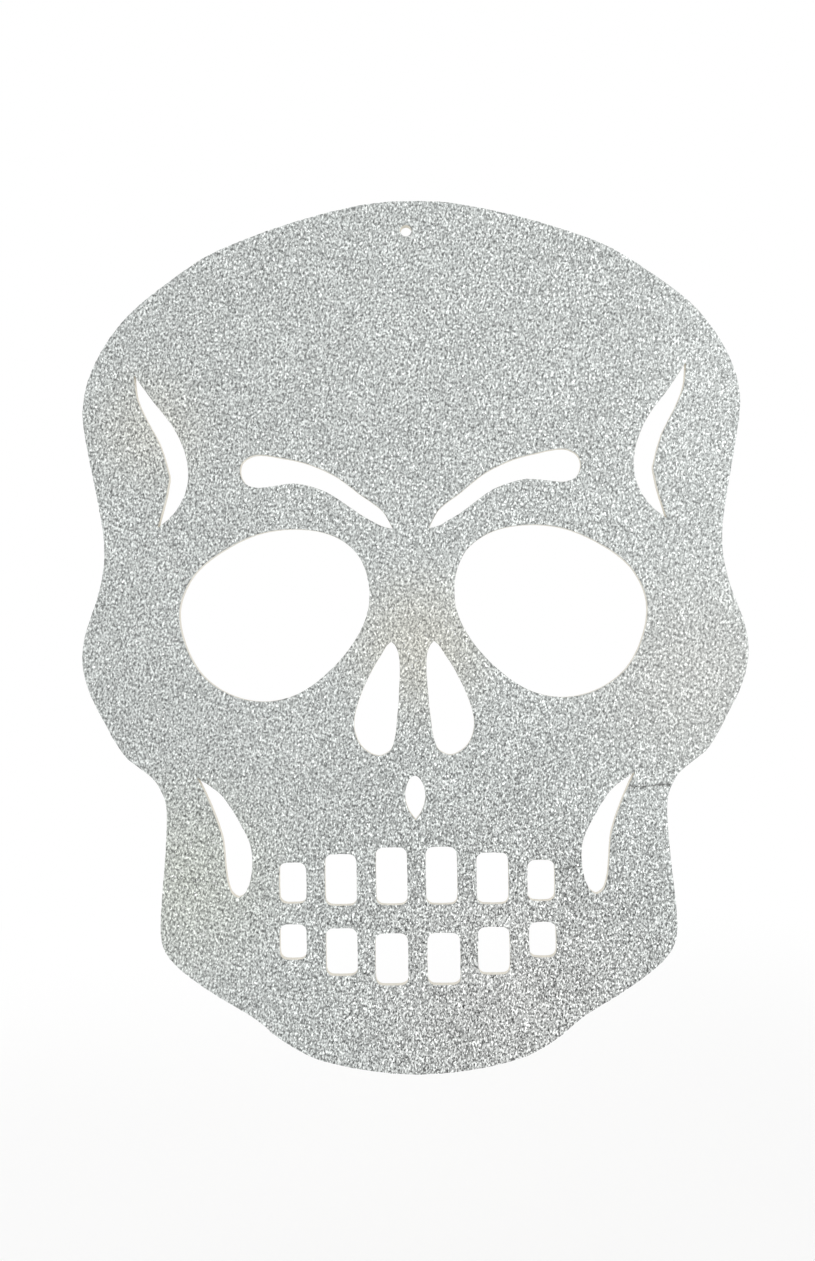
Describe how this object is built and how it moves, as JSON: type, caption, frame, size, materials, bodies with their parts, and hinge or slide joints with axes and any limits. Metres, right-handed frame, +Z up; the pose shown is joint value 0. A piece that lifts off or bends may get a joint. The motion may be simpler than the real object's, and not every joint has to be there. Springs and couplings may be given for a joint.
{
  "type": "halloween skull decoration",
  "caption": "Flat die-cut skull wall hanging, silver glitter on paper-faced foam board, with open eyes, brows, temples, nostrils, cheeks and teeth and a punched hanging hole.",
  "frame": {"origin": "centre of the punched hanging hole, in the plane of the back face", "axes": "+Z up from the chin to the crown, the glitter front faces -Y, the back face's normal is +Y, +X is to the right of someone who looks at the front"},
  "size_m": [0.29, 0.0035, 0.38],
  "materials": {
    "liner_paper": "uncoated off-white liner paper",
    "board_foam": "cut edge of fine-celled foam",
    "clear_glue": "dried clear adhesive, hidden under the glitter",
    "silver_glitter": "silver glitter flakes in a rough bed"
  },
  "bodies": {
    "root": {"back_paper": "liner_paper", "foam_core": "board_foam", "front_paper": "liner_paper", "glue_film": "clear_glue", "glitter_layer": "silver_glitter"}
  },
  "joints": []
}
